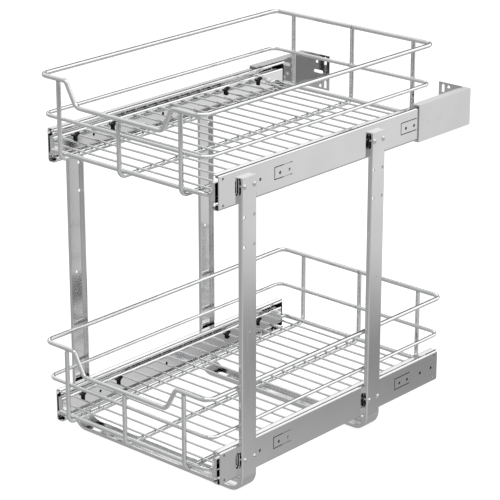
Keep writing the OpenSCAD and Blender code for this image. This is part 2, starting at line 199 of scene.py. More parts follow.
class GroupBoard(NodeBoard):
    """A board on a new shader node group with one output."""

    def __init__(self, name: str, output: str, **inputs: object) -> None:
        """Start the group and make its sockets.

        Args:
            name: The group's name.
            output: The name of its output.
            **inputs: Default values of its inputs, a number or a vector each.
        """
        super().__init__(bpy.data.node_groups.new(name, "ShaderNodeTree"))
        interface = self.tree.interface
        for label, value in inputs.items():
            kind = "NodeSocketFloat" if isinstance(value, float) else "NodeSocketVector"
            interface.new_socket(name=label, in_out="INPUT", socket_type=kind).default_value = value
        interface.new_socket(name=output, in_out="OUTPUT", socket_type="NodeSocketFloat")
        self.given = self.add("NodeGroupInput").outputs
        self.spot = self.add("ShaderNodeTexCoord").outputs["Object"]

    def close(self, result: Socket) -> Group:
        """Put the result out and hand over the group."""
        self.add("NodeGroupOutput", result)
        return self.tree


class Effects:
    """Surface effects that several finishes share, each one shader node group."""

    CLOUD_CONTRAST = (0.3, 0.7)

    def __init__(self) -> None:
        """Build the groups once."""
        self.cloud = self.build_cloud()
        self.grain = self.build_grain()
        self.specks = self.build_specks()

    def build_cloud(self) -> Group:
        """Soft patches of plating that run from Low to High.

        Returns:
            The group, with one output, Value.
        """
        board = GroupBoard("plating_cloud", "Value", Scale=20.0, Low=0.0, High=1.0)
        noise = board.noise(board.spot, board.given["Scale"], detail=3.0, roughness=0.55)
        wanted = (board.given["Low"], board.given["High"])
        return board.close(board.spread(noise, self.CLOUD_CONTRAST, wanted))

    def build_grain(self) -> Group:
        """Fine lines left by rolling, drawn out along one axis.

        Returns:
            The group, with one output, Height.
        """
        board = GroupBoard("rolling_grain", "Height", Stretch=(1.0, 1.0, 1.0), Scale=30.0)
        drawn = board.add("ShaderNodeVectorMath", board.spot, board.given["Stretch"], operation="MULTIPLY")
        return board.close(board.noise(drawn.outputs[0], board.given["Scale"], detail=5.0, roughness=0.7))

    def build_specks(self) -> Group:
        """Fine moulded or plated grit, with one output, Height."""
        board = GroupBoard("fine_specks", "Height", Scale=900.0)
        return board.close(board.noise(board.spot, board.given["Scale"], detail=2.0, roughness=0.6))


# --- finishes ---


def cleared_board(owner: bpy.types.Material | bpy.types.World) -> NodeBoard:
    """Turn on the nodes of a material or world, and empty its tree.

    Args:
        owner: The material or world.

    Returns:
        A board on the empty tree.
    """
    owner.use_nodes = True
    owner.node_tree.nodes.clear()
    return NodeBoard(owner.node_tree)


@dataclass(frozen=True)
class Finish:
    """What every finish has: a colour between two tones, and a roughness between two values."""

    name: str
    dark: Colour
    light: Colour
    roughness: Span

    def colour(self, board: NodeBoard, mask: Socket) -> Socket:
        """The colour, dark where the mask is 0 and light where it is 1."""
        return board.mix(mask, (*self.dark, 1.0), (*self.light, 1.0), kind="RGBA")

    def shade(self, board: NodeBoard, effects: Effects) -> dict[str, object]:
        """What the shader's inputs get. Each kind of finish has its own way."""
        raise NotImplementedError

    def build(self, effects: Effects) -> bpy.types.Material:
        """Make the material.

        Args:
            effects: The shared node groups.

        Returns:
            The finished material.
        """
        material = bpy.data.materials.new(self.name)
        board = cleared_board(material)
        surface = board.add("ShaderNodeBsdfPrincipled", **self.shade(board, effects))
        board.add("ShaderNodeOutputMaterial", Surface=surface.outputs["BSDF"])
        return material


@dataclass(frozen=True)
class SheetFinish(Finish):
    """Zinc-plated sheet steel, with rolling grain under the plating."""

    grain: Grain
    grain_scale: float = 12.0
    grain_contrast: Span = (0.25, 0.75)
    grain_depth: float = 0.012 * MM
    cloud_scale: float = 14.0

    def shade(self, board: NodeBoard, effects: Effects) -> dict[str, object]:
        """Cloudy plating over fine grain, which shows in the gloss and the relief.

        Args:
            board: The material's board.
            effects: The shared node groups.

        Returns:
            What the shader's inputs get.
        """
        cloud = board.place(effects.cloud, Scale=self.cloud_scale)
        streaks = board.place(effects.grain, Stretch=self.grain.value, Scale=self.grain_scale)
        return {
            "Base_Color": self.colour(board, cloud),
            "Metallic": 1.0,
            "Roughness": board.spread(streaks, self.grain_contrast, self.roughness),
            "Normal": board.bump(streaks, self.grain_depth),
        }


@dataclass(frozen=True)
class PlatedFinish(Finish):
    """Plating on drawn wire, balls, screws and welds, whose dark tone is painted shade at the crossings."""

    cloud_scale: float = 45.0
    gloss_finer: float = 2.3
    speck_scale: float = 500.0
    speck_depth: float = 0.002 * MM

    def shade(self, board: NodeBoard, effects: Effects) -> dict[str, object]:
        """Cloudy plating with finer patches of gloss and a fine grit.

        Args:
            board: The material's board.
            effects: The shared node groups.

        Returns:
            What the shader's inputs get.
        """
        low, high = self.roughness
        finer = self.cloud_scale * self.gloss_finer
        return {
            "Base_Color": self.colour(board, board.place(effects.cloud, Scale=self.cloud_scale)),
            "Metallic": 1.0,
            "Roughness": board.place(effects.cloud, Scale=finer, Low=low, High=high),
            "Normal": board.bump(board.place(effects.specks, Scale=self.speck_scale), self.speck_depth),
        }


@dataclass(frozen=True)
class PlasticFinish(Finish):
    """Moulded plastic with a fine spark-eroded skin."""

    specular: float = 0.15
    gloss_scale: float = 120.0
    speck_scale: float = 1400.0
    speck_depth: float = 0.01 * MM

    def shade(self, board: NodeBoard, effects: Effects) -> dict[str, object]:
        """A grit that shows in tone and relief, with softer patches of gloss.

        Args:
            board: The material's board.
            effects: The shared node groups.

        Returns:
            What the shader's inputs get.
        """
        low, high = self.roughness
        specks = board.place(effects.specks, Scale=self.speck_scale)
        return {
            "Base_Color": self.colour(board, specks),
            "Specular_IOR_Level": self.specular,
            "Roughness": board.place(effects.cloud, Scale=self.gloss_scale, Low=low, High=high),
            "Normal": board.bump(specks, self.speck_depth),
        }


class Paintbox:
    """All finishes of the part, built once and handed out by name."""

    FINISHES = (
        SheetFinish("yoke_zinc", (0.75, 0.75, 0.755), (0.81, 0.81, 0.815), (0.08, 0.14), Grain.ALONG_Z),
        SheetFinish("slide_zinc", (0.76, 0.76, 0.765), (0.81, 0.81, 0.815), (0.08, 0.13), Grain.ALONG_Y),
        SheetFinish("bright_slide_zinc", (0.84, 0.84, 0.845), (0.89, 0.89, 0.895), (0.05, 0.09),
                    Grain.ALONG_Y),
        SheetFinish("bracket_zinc", (0.73, 0.73, 0.735), (0.79, 0.79, 0.795), (0.09, 0.15), Grain.ALONG_Y),
        SheetFinish("cage_zinc", (0.66, 0.66, 0.66), (0.74, 0.74, 0.74), (0.18, 0.28), Grain.ALONG_Y),
        PlatedFinish("wire_chrome", (0.77, 0.775, 0.78), (0.85, 0.855, 0.86), (0.06, 0.11)),
        # the welds' dark tones are painted shade where the wires cross, not the plating's own colour
        PlatedFinish("weld_chrome", (0.20, 0.20, 0.20), (0.44, 0.44, 0.44), (0.18, 0.34),
                     cloud_scale=400.0, speck_depth=0.05 * MM),
        PlatedFinish("ball_steel", (0.62, 0.62, 0.63), (0.70, 0.70, 0.71), (0.03, 0.06),
                     cloud_scale=200.0, speck_depth=0.0005 * MM),
        PlatedFinish("screw_zinc", (0.70, 0.70, 0.70), (0.79, 0.79, 0.79), (0.10, 0.18),
                     cloud_scale=300.0, speck_depth=0.004 * MM),
        PlasticFinish("black_plastic", (0.006, 0.006, 0.006), (0.014, 0.014, 0.014), (0.28, 0.42)),
    )

    def __init__(self) -> None:
        """Build the shared effects and every material."""
        effects = Effects()
        self.materials = {finish.name: finish.build(effects) for finish in self.FINISHES}

    def coat(self, piece: Piece, finish: str) -> None:
        """Give every slot of a piece one finish.

        Args:
            piece: A CAD node's object or a new piece.
            finish: The finish's name.
        """
        if not piece.material_slots:
            piece.data.materials.append(self.materials[finish])
        for slot in piece.material_slots:
            slot.material = self.materials[finish]


# --- mesh building ---


def middle(low: Vector, high: Vector) -> Vector:
    """The middle of a box."""
    return (low + high) / 2


def circle(sides: int) -> list[float]:
    """Angles of the corners of a regular polygon that stands for a circle."""
    return [2 * math.pi * k / sides for k in range(sides)]


def bridge(maker: Maker, loops: Loops) -> None:
    """Join each loop of points to the next with a band of faces.

    Args:
        maker: The mesh that holds the points.
        loops: The loops, all with as many points.
    """
    for below, above in zip(loops, loops[1:]):
        for k in range(len(below)):
            after = (k + 1) % len(below)
            maker.faces.new((below[k], below[after], above[after], above[k]))


def close_ends(maker: Maker, loops: Loops) -> None:
    """Close the first and the last loop with a flat face each."""
    maker.faces.new(list(reversed(loops[0])))
    maker.faces.new(loops[-1])


def piece_from(name: str, maker: Maker, smooth: bool = True) -> Piece:
    """Turn a bmesh into an object of the scene and free it.

    Args:
        name: The object's name.
        maker: The finished bmesh.
        smooth: Whether faces are shaded smooth, apart from sharp edges.

    Returns:
        The new object.
    """
    mesh = bpy.data.meshes.new(name)
    maker.to_mesh(mesh)
    maker.free()
    if smooth:
        mesh.shade_smooth()
        mesh.set_sharp_from_angle(angle=SHARP_EDGE)
    piece = bpy.data.objects.new(name, mesh)
    bpy.context.scene.collection.objects.link(piece)
    return piece


@dataclass(frozen=True)
class BentWire:
    """Round wire along straight runs joined by round bends."""

    points: tuple[Vector, ...]
    diameter: float
    bends: tuple[float, ...]
    sides: int = 24
    arc_step: float = math.radians(7.5)
    run_share: float = 0.48
    end_round: float = 0.35

    def centreline(self) -> list[Vector]:
        """Points along the middle of the wire. A bend takes at most run_share of a straight run.

        Returns:
            The ends, with points along each bend between them.
        """
        line = [self.points[0]]
        for before, corner, after, bend in zip(self.points, self.points[1:], self.points[2:], self.bends):
            arriving = (corner - before).normalized()
            leaving = (after - corner).normalized()
            turn = arriving.angle(leaving)
            shortest = min((corner - before).length, (after - corner).length)
            radius = min(bend, self.run_share * shortest / math.tan(turn / 2))
            start = corner - arriving * radius * math.tan(turn / 2)
            inward = (leaving - arriving * leaving.dot(arriving)).normalized()
            parts = max(2, math.ceil(turn / self.arc_step))
            for k in range(parts + 1):
                angle = turn * k / parts
                line.append(start + radius * (math.sin(angle) * arriving + (1 - math.cos(angle)) * inward))
        line.append(self.points[-1])
        return line

    def rings(self, line: Sequence[Vector]) -> Iterable[tuple[Vector, Vector, float]]:
        """Where the rings of the tube lie.

        Args:
            line: The wire's centreline.

        Yields:
            Each ring's middle, its direction and its radius.
        """
        radius = self.diameter / 2
        first = (line[1] - line[0]).normalized()
        last = (line[-1] - line[-2]).normalized()
        soft = self.end_round * radius
        yield line[0], first, radius - soft
        yield line[0] + first * soft, first, radius
        for before, here, after in zip(line, line[1:], line[2:]):
            yield here, (here - before).normalized() + (after - here).normalized(), radius
        yield line[-1] - last * soft, last, radius
        yield line[-1], last, radius - soft

    def add_to(self, maker: Maker) -> None:
        """Add the wire's skin to a mesh.

        Args:
            maker: The mesh that gets the wire.
        """
        along, across = None, None
        loops = []
        for place, direction, radius in self.rings(self.centreline()):
            direction = direction.normalized()
            if across is None:
                across = direction.orthogonal()
            else:
                across = along.rotation_difference(direction) @ across
            along = direction
            across = (across - along * across.dot(along)).normalized()
            beside = along.cross(across)
            loops.append([maker.verts.new(place + radius * (math.cos(a) * across + math.sin(a) * beside))
                          for a in circle(self.sides)])
        bridge(maker, loops)
        close_ends(maker, loops)


@dataclass(frozen=True)
class Extrusion:
    """An outline in Y and Z, extruded along X between two places, with bevelled edges."""

    outline: Outline
    ends: Span
    bevel: float
    bevel_segments: int = 2

    def add_to(self, maker: Maker) -> None:
        """Add the body to a mesh.

        Args:
            maker: The mesh that gets the body.
        """
        body = bmesh.new()
        loops = [[body.verts.new((x, y, z)) for y, z in self.outline] for x in sorted(self.ends)]
        bridge(body, loops)
        close_ends(body, loops)
        bmesh.ops.recalc_face_normals(body, faces=body.faces)
        bmesh.ops.bevel(body, geom=body.edges[:], offset=self.bevel, segments=self.bevel_segments,
                        affect="EDGES", clamp_overlap=True)
        mesh = bpy.data.meshes.new("extrusion")
        body.to_mesh(mesh)
        body.free()
        maker.from_mesh(mesh)
        bpy.data.meshes.remove(mesh)


@dataclass(frozen=True)
class Weld:
    """A resistance weld: a low, slightly uneven swelling where two wires meet."""

    place: Vector
    size: Size
    uneven: Span = (0.9, 1.12)
    twist: float = 0.12

    def add_to(self, maker: Maker, vary: random.Random) -> None:
        """Add the weld to a mesh.

        Args:
            maker: The mesh that gets the weld.
            vary: The source of its unevenness.
        """
        stretch = Matrix.Diagonal((*(length * vary.uniform(*self.uneven) for length in self.size), 1.0))
        spin = Matrix.Rotation(vary.uniform(-self.twist, self.twist), 4, "Z")
        bmesh.ops.create_icosphere(maker, subdivisions=3, radius=1.0,
                                   matrix=Matrix.Translation(self.place) @ spin @ stretch)


def piece_of(name: str, forms: Iterable[BentWire | Extrusion]) -> Piece:
    """Make one object of several forms.

    Args:
        name: The object's name.
        forms: Wires or extrusions.

    Returns:
        The new object.
    """
    maker = bmesh.new()
    for form in forms:
        form.add_to(maker)
    return piece_from(name, maker)


def plate_outline(front: float, back: float, height: float, half: float) -> Outline:
    """Outline in Y and Z of an upright plate, half to each side of a height."""
    return [(front, height - half), (back, height - half), (back, height + half), (front, height + half)]


# --- sub-assemblies ---


@dataclass
class ScrewSet:
    """Pan-head screws with a cross recess, all of one node, standing in for the plain ones."""

    node: str
    seats: Sequence[Seat]
    shank_length: float
    head_radius: float = 3.6 * MM
    head_height: float = 1.5 * MM
    rim_share: float = 0.25
    shank_radius: float = 2.0 * MM
    recess_length: float = 3.9 * MM
    recess_width: float = 0.85 * MM
    recess_depth: float = 0.95 * MM
    recess_taper: float = 0.45
    dome_rings: int = 7
    sides: int = 28

    def profile(self) -> Outline:
        """The turned outline, from the shank's end to the last ring of the dome.

        Returns:
            Radius and height of each ring.
        """
        sphere = (self.head_radius ** 2 + self.head_height ** 2) / (2 * self.head_height)
        rim = self.rim_share * self.head_height
        rings = [(self.shank_radius, -self.shank_length), (self.shank_radius, 0.0), (self.head_radius, 0.0)]
        for ring in range(1, self.dome_rings):
            radius = self.head_radius * (1 - ring / self.dome_rings)
            height = math.sqrt(sphere ** 2 - radius ** 2) - (sphere - self.head_height)
            rings.append((radius, max(height, rim)))
        return rings

    def blank(self) -> Piece:
        """The screw before its recess is cut, along Z with its head on the plane z = 0.

        Returns:
            The object.
        """
        maker = bmesh.new()
        loops = [[maker.verts.new((r * math.cos(a), r * math.sin(a), z)) for a in circle(self.sides)]
                 for r, z in self.profile()]
        top = maker.verts.new((0.0, 0.0, self.head_height))
        bridge(maker, loops)
        for k in range(self.sides):
            maker.faces.new((loops[-1][k], loops[-1][(k + 1) % self.sides], top))
        maker.faces.new(list(reversed(loops[0])))
        return piece_from("screw_blank", maker)

    def recess_cutter(self, turn: float) -> Piece:
        """One bar of the cross, which narrows toward its bottom.

        Args:
            turn: How far the bar is turned about the screw's axis.

        Returns:
            The object.
        """
        maker = bmesh.new()
        size = Matrix.Diagonal((self.recess_length, self.recess_width, 2 * self.recess_depth, 1.0))
        lift = Matrix.Translation((0.0, 0.0, self.head_height))
        bmesh.ops.create_cube(maker, size=1.0, matrix=Matrix.Rotation(turn, 4, "Z") @ lift @ size)
        for vert in maker.verts:
            if vert.co.z < self.head_height:
                vert.co.x *= self.recess_taper
                vert.co.y *= self.recess_taper
        return piece_from("recess_cutter", maker, smooth=False)

    def cut_screw(self) -> bpy.types.Mesh:
        """One screw with the cross cut into its head.

        Returns:
            The mesh.
        """
        screw = self.blank()
        cutters = [self.recess_cutter(turn) for turn in (0.0, math.pi / 2)]
        for cutter in cutters:
            cut = screw.modifiers.new("recess", "BOOLEAN")
            cut.object = cutter
            cut.operation = "DIFFERENCE"
        bpy.context.view_layer.update()
        graph = bpy.context.evaluated_depsgraph_get()
        mesh = bpy.data.meshes.new_from_object(screw.evaluated_get(graph))
        for helper in (screw, *cutters):
            bpy.data.objects.remove(helper)
        return mesh

    def build(self, paint: Paintbox) -> Piece:
        """Set one screw on each seat and join them.

        Args:
            paint: The finishes.

        Returns:
            The joined piece.
        """
        one = self.cut_screw()
        turned = random.Random(len(self.seats))
        maker = bmesh.new()
        for place, outward in self.seats:
            before = set(maker.verts)
            maker.from_mesh(one)
            fresh = [vert for vert in maker.verts if vert not in before]
            spin = Matrix.Rotation(turned.uniform(0.0, math.pi), 4, "Z")
            stand = outward.to_track_quat("Z", "Y").to_matrix().to_4x4()
            bmesh.ops.transform(maker, matrix=Matrix.Translation(place) @ stand @ spin, verts=fresh)
        piece = piece_from(f"{self.node}_detailed", maker)
        paint.coat(piece, "screw_zinc")
        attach(piece, "frame")
        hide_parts(self.node)
        return piece


@dataclass
class StandingFrame:
    """The two yokes, the rear brackets and the screws that join them to the slides."""

    nodes: dict[str, Piece]
    paint: Paintbox
    screw_gap: float = 18.0 * MM
    slide_sheet: float = 1.3 * MM
    yoke_shank: float = 7.1 * MM
    bracket_shank: float = 2.8 * MM

    def slide_middle(self, tier: Tier) -> float:
        """Height of the middle of a tier's slides."""
        return middle(*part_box(f"{tier}_right_outer_slide")).z

    def yoke_seats(self) -> list[Seat]:
        """Seats of the screws on the arms.

        Returns:
            For each screw its place on the arm and the direction of its head.
        """
        seats = []
        for yoke, side, tier, step in product(YOKES, Side, Tier, (-1, 1)):
            low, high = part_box(yoke)
            along = middle(low, high).y + step * self.screw_gap / 2
            place = Vector((side.value * high.x, along, self.slide_middle(tier)))
            seats.append((place, side.outward()))
        return seats

    def bracket_seats(self) -> list[Seat]:
        """Seats of the screws inside the upper slides, which run outward through the brackets.

        Returns:
            For each screw its place on the slide's web and the direction of its head.
        """
        low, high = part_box("bracket_screws")
        radius = ScrewSet.head_radius
        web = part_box("upper_right_outer_slide")[1].x - self.slide_sheet
        height = self.slide_middle(Tier.UPPER)
        return [(Vector((side.value * web, y, height)), -side.outward())
                for side, y in product(Side, (low.y + radius, high.y - radius))]

    def build(self) -> list[Piece]:
        """Dress the sheet metal and set the screws.

        Returns:
            The new pieces.
        """
        for yoke in YOKES:
            self.paint.coat(self.nodes[yoke], "yoke_zinc")
        for side in Side:
            self.paint.coat(self.nodes[f"{side.word}_rear_bracket"], "bracket_zinc")
        self.paint.coat(self.nodes["slide_rear_stops"], "black_plastic")
        on_yokes = ScrewSet("yoke_screws", self.yoke_seats(), self.yoke_shank)
        on_brackets = ScrewSet("bracket_screws", self.bracket_seats(), self.bracket_shank)
        return [screws.build(self.paint) for screws in (on_yokes, on_brackets)]


@dataclass
class SlidePair:
    """Both slides of one tier, with their bumper strips, end tabs and wire clips."""

    tier: Tier
    nodes: dict[str, Piece]
    paint: Paintbox
    strip_half: float = 14.0 * MM
    strip_thick: float = 0.9 * MM
    strip_proud: float = 0.15 * MM
    strip_wrap: float = 1.45 * MM
    strip_bevel: float = 0.25 * MM
    tab_half: float = 11.3 * MM
    tab_reach: float = 7.4 * MM
    tab_sheet: float = 1.2 * MM
    tab_proud: float = 0.15 * MM
    tab_bevel: float = 0.3 * MM
    clips_along: tuple[float, ...] = (37.0 * MM, 105.0 * MM, 325.5 * MM, 393.5 * MM)
    clip_gap: float = 0.05 * MM
    clip_depth: float = 3.0 * MM
    clip_bevel: float = 0.35 * MM
    # corners of a clip, rearward and upward from its seat, in millimetres
    clip_outline: Outline = (
        (-1.6, 0.0), (1.4, 0.0), (1.1, 4.6), (2.2, 6.6), (6.2, 9.0), (5.4, 11.2),
        (1.0, 9.4), (-1.8, 8.5), (-4.8, 9.0), (-5.2, 7.1), (-2.6, 6.2), (-1.3, 4.4),
    )

    def slide_box(self, side: Side, member: str) -> Box:
        """The box of one slide member."""
        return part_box(f"{self.tier}_{side.word}_{member}_slide")

    def bumpers(self) -> Piece:
        """Thin black strips on the front edges of the middle members' webs.

        Returns:
            The piece that stands for both bumpers.
        """
        strips = []
        for side in Side:
            box = self.slide_box(side, "middle")
            web = side.outer_face(box)
            ends = (web + side.value * self.strip_proud, web - side.value * self.strip_wrap)
            front = box[0].y
            outline = plate_outline(front - self.strip_thick, front, middle(*box).z, self.strip_half)
            strips.append(Extrusion(outline, ends, self.strip_bevel))
        piece = piece_of(f"{self.tier}_bumper_strips", strips)
        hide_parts(f"{self.tier}_front_bumpers")
        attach(piece, f"{self.tier}_middle")
        return piece

    def end_tabs(self) -> Piece:
        """Tabs folded outward from the front ends of the inner members' webs.

        Returns:
            The piece with both tabs, which ride with the basket.
        """
        tabs = []
        for side in Side:
            box = self.slide_box(side, "inner")
            web = side.inner_face(box)
            ends = (web, web + side.value * self.tab_reach)
            front = box[0].y - self.tab_proud
            outline = plate_outline(front, front + self.tab_sheet, middle(*box).z, self.tab_half)
            tabs.append(Extrusion(outline, ends, self.tab_bevel))
        piece = piece_of(f"{self.tier}_inner_end_tabs", tabs)
        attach(piece, f"{self.tier}_basket")
        return piece

    def clips(self) -> Piece:
        """Moulded clips snapped onto the inner members above the cross wires.

        Returns:
            The piece that stands for all clips of the tier.
        """
        clips = []
        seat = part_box(f"{self.tier}_wire_clips")[0].z
        for side in Side:
            face = side.inner_face(self.slide_box(side, "inner"))
            ends = (face - side.value * self.clip_gap, face - side.value * self.clip_depth)
            front = self.slide_box(side, "outer")[0].y
            for along in self.clips_along:
                outline = [(front + along + y * MM, seat + z * MM) for y, z in self.clip_outline]
                clips.append(Extrusion(outline, ends, self.clip_bevel))
        piece = piece_of(f"{self.tier}_moulded_clips", clips)
        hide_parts(f"{self.tier}_wire_clips")
        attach(piece, f"{self.tier}_basket")
        return piece

    def dress_members(self) -> None:
        """Coat the members, cages and balls of both slides."""
        for side, (member, finish) in product(Side, MEMBER_FINISHES.items()):
            self.paint.coat(self.nodes[f"{self.tier}_{side.word}_{member}"], finish)
        for balls in ("outer_balls", "inner_balls"):
            self.paint.coat(self.nodes[f"{self.tier}_{balls}"], "ball_steel")

    def build(self) -> list[Piece]:
        """Dress the slides, mould the plastic pieces and fold the tabs.

        Returns:
            The new pieces.
        """
        self.dress_members()
        moulded = [self.bumpers(), self.clips()]
        for piece in moulded:
            self.paint.coat(piece, "black_plastic")
        tabs = self.end_tabs()
        self.paint.coat(tabs, "bright_slide_zinc")
        return [*moulded, tabs]


@dataclass(frozen=True)
class RimPath:
    """Where a top rim's centre line runs: half its width, and its front, rear, top and dip."""

    half: float
    front: float
    rear: float
    top: float
    dip: float


@dataclass
class WireBasket:
    """One basket: its chromed wires and the welds that join them.

    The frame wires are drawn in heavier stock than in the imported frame. Their outer faces stay where the
    packed wires have them, and they sink a little into each other where they are welded.
    """

    tier: Tier
    nodes: dict[str, Piece]
    paint: Paintbox
    cross_wires: int
    packed_wire: float = 5.0 * MM
    frame_wire: float = 6.0 * MM
    rim: float = 6.0 * MM
    middle_rim: float = 5.0 * MM
    rim_bend: float = 12.0 * MM
    wire_bend: float = 10.0 * MM
    dip_floor: float = 75.0 * MM
    dip_bend: float = 7.0 * MM
    dip_lean: float = 0.55  # how far the dip's sides lean out, as a share of their height
    hook_bend: float = 20.0 * MM
    hook_slope: float = math.radians(17.5)
    hook_tip: float = 2.0 * MM
    tail_trim: float = 1.0 * MM  # how much shorter the rear end wires' tails are than packed
    weld_sink: float = 0.4 * MM
    floor_weld: Size = (1.9 * MM, 1.7 * MM, 0.9 * MM)
    rim_weld: Size = (2.9 * MM, 2.4 * MM, 0.9 * MM)
    leg_weld: Size = (2.2 * MM, 0.8 * MM, 2.2 * MM)
    butt_weld: float = 1.3 * MM
    butt_swell: float = 1.06

    def node_box(self, wire: str) -> Box:
        """The box of one of the basket's nodes."""
        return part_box(f"{self.tier}_{wire}")

    def column(self, side: str) -> float:
        """Place across the cabinet of the left, centre or right long wire."""
        return middle(*self.node_box(f"{side}_long_wire")).x

    def rim_path(self) -> RimPath:
        """The top rim's centre line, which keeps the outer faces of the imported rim.

        Returns:
            The path.
        """
        low, high = self.node_box("top_rim")
        radius = self.rim / 2
        return RimPath(high.x - radius, low.y + radius, high.y - radius, high.z - radius, low.z + radius)

    def rim_wire(self, right: Sequence[Size], diameter: float, bends: tuple[float, ...]) -> BentWire:
        """A whole rim from the corners and bends of its right half, which starts at the butt weld."""
        left = [(-x, y, z) for x, y, z in reversed(right)]
        return BentWire(tuple(Vector(point) for point in (*right, *left)), diameter, bends + bends[::-1])

    def top_rim_wire(self) -> BentWire:
        """The top rim, with the dip in its front.

        Returns:
            The wire.
        """
        path = self.rim_path()
        dip_top = self.dip_floor + (path.top - path.dip) * self.dip_lean
        right = [(0.0, path.rear, path.top), (path.half, path.rear, path.top),
                 (path.half, path.front, path.top), (dip_top, path.front, path.top),
                 (self.dip_floor, path.front, path.dip)]
        return self.rim_wire(right, self.rim, (self.rim_bend, self.rim_bend, self.dip_bend, self.rim_bend))

    def middle_rim_wire(self) -> BentWire:
        """The middle rim, which runs inside the upright legs of the long wires.

        Returns:
            The wire.
        """
        low, high = self.node_box("middle_rim")
        radius = self.middle_rim / 2
        half, height = high.x - radius, middle(low, high).z
        front = self.long_ends()[0] + self.frame_wire / 2 + radius - self.weld_sink
        rear = self.long_ends()[1] - self.frame_wire / 2 - radius + self.weld_sink
        right = [(0.0, rear, height), (half, rear, height), (half, front, height)]
        return self.rim_wire(right, self.middle_rim, (self.rim_bend, self.rim_bend))

    def long_ends(self) -> Span:
        """Places along Y of the front and rear uprights."""
        low, high = self.node_box("centre_long_wire")
        return low.y + self.frame_wire / 2, high.y - self.frame_wire / 2

    def long_height(self) -> float:
        """Height of the long wires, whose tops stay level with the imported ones."""
        return self.node_box("centre_long_wire")[0].z + self.packed_wire - self.frame_wire / 2

    def front_height(self, across: float) -> float:
        """Height of the top rim's front at a place across the basket."""
        path = self.rim_path()
        return path.dip if abs(across) < self.dip_floor else path.top

    def long_wire(self, side: str) -> BentWire:
        """A long wire with its two uprights.

        Args:
            side: left, centre or right.

        Returns:
            The wire.
        """
        x = self.column(side)
        front, rear = self.long_ends()
        floor = self.long_height()
        seat = self.weld_sink - self.rim / 2
        points = [(x, front, self.front_height(x) + seat), (x, front, floor), (x, rear, floor),
                  (x, rear, self.rim_path().top + seat)]
        return BentWire(tuple(Vector(point) for point in points), self.frame_wire, (self.wire_bend,) * 2)

    def end_wire(self, end: str) -> BentWire:
        """An end wire, whose two ends turn in along the slides.

        Args:
            end: front or rear.

        Returns:
            The wire.
        """
        low, high = self.node_box(f"{end}_end_wire")
        grown = (self.frame_wire - self.packed_wire) / 2
        half = high.x - self.frame_wire / 2
        height = high.z - self.packed_wire / 2 + grown
        if end == "front":
            place = low.y + self.packed_wire / 2
            reach = self.hook_bend + self.hook_tip
            tail = Vector((0.0, reach * math.cos(self.hook_slope), -reach * math.sin(self.hook_slope)))
            bend = self.hook_bend
        else:
            place = high.y - self.packed_wire / 2
            tail = Vector((0.0, low.y - place + self.tail_trim, 0.0))
            bend = self.wire_bend
        left = Vector((-half, place, height))
        right = Vector((half, place, height))
        return BentWire((left + tail, left, right, right + tail), self.frame_wire, (bend,) * 2)

    def drawn_wires(self) -> dict[str, BentWire]:
        """The wires that stand in for packed ones, by the last words of their nodes.

        Returns:
            Both rims, the long wires and the end wires.
        """
        wires = {"top_rim": self.top_rim_wire(), "middle_rim": self.middle_rim_wire()}
        for side in LONG_WIRES:
            wires[f"{side}_long_wire"] = self.long_wire(side)
        for end in ("front", "rear"):
            wires[f"{end}_end_wire"] = self.end_wire(end)
        return wires

    def floor_welds(self) -> list[Weld]:
        """The welds where the cross wires lie on the long wires.

        Returns:
            One weld for each crossing.
        """
        low, high = self.node_box("cross_wires")
        radius = (high.z - low.z) / 2
        pitch = (high.y - low.y - 2 * radius) / (self.cross_wires - 1)
        return [Weld(Vector((self.column(side), low.y + radius + k * pitch, low.z)), self.floor_weld)
                for k, side in product(range(self.cross_wires), LONG_WIRES)]

    def frame_welds(self) -> list[Weld]:
        """The welds of the uprights on both rims, and the rims' butt welds.

        Returns:
            The welds, upright by upright and then rim by rim.
        """
        path = self.rim_path()
        waist = self.middle_rim_wire().points[0]
        front, rear = self.long_ends()
        welds = []
        for side in LONG_WIRES:
            x = self.column(side)
            uprights = ((front, path.front, self.front_height(x)), (rear, path.rear, path.top))
            for y, rim_y, height in uprights:
                welds.append(Weld(Vector((x, (y + rim_y) / 2, height - self.rim / 2)), self.rim_weld))
                inward = math.copysign(self.frame_wire / 2, -y)
                welds.append(Weld(Vector((x, y + inward, waist.z)), self.leg_weld))
        for y, height, thick in ((path.rear, path.top, self.rim), (waist.y, waist.z, self.middle_rim)):
            swell = thick / 2 * self.butt_swell
            welds.append(Weld(Vector((0.0, y, height)), (self.butt_weld, swell, swell)))
        return welds

    def build(self) -> list[Piece]:
        """Draw the wires and lay the welds.

        Returns:
            The new pieces.
        """
        pieces = []
        for name, wire in self.drawn_wires().items():
            piece = piece_of(f"{self.tier}_{name}_drawn", [wire])
            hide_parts(f"{self.tier}_{name}")
            self.paint.coat(piece, "wire_chrome")
            pieces.append(piece)
        self.paint.coat(self.nodes[f"{self.tier}_cross_wires"], "wire_chrome")
        vary = random.Random(self.cross_wires)
        for name, welds in (("floor_welds", self.floor_welds()), ("frame_welds", self.frame_welds())):
            maker = bmesh.new()
            for weld in welds:
                weld.add_to(maker, vary)
            piece = piece_from(f"{self.tier}_{name}", maker)
            # the welds get the dark finish: painted shade where the wires cross
            self.paint.coat(piece, "weld_chrome")
            pieces.append(piece)
        for piece in pieces:
            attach(piece, f"{self.tier}_basket")
        return pieces


# --- studio ---


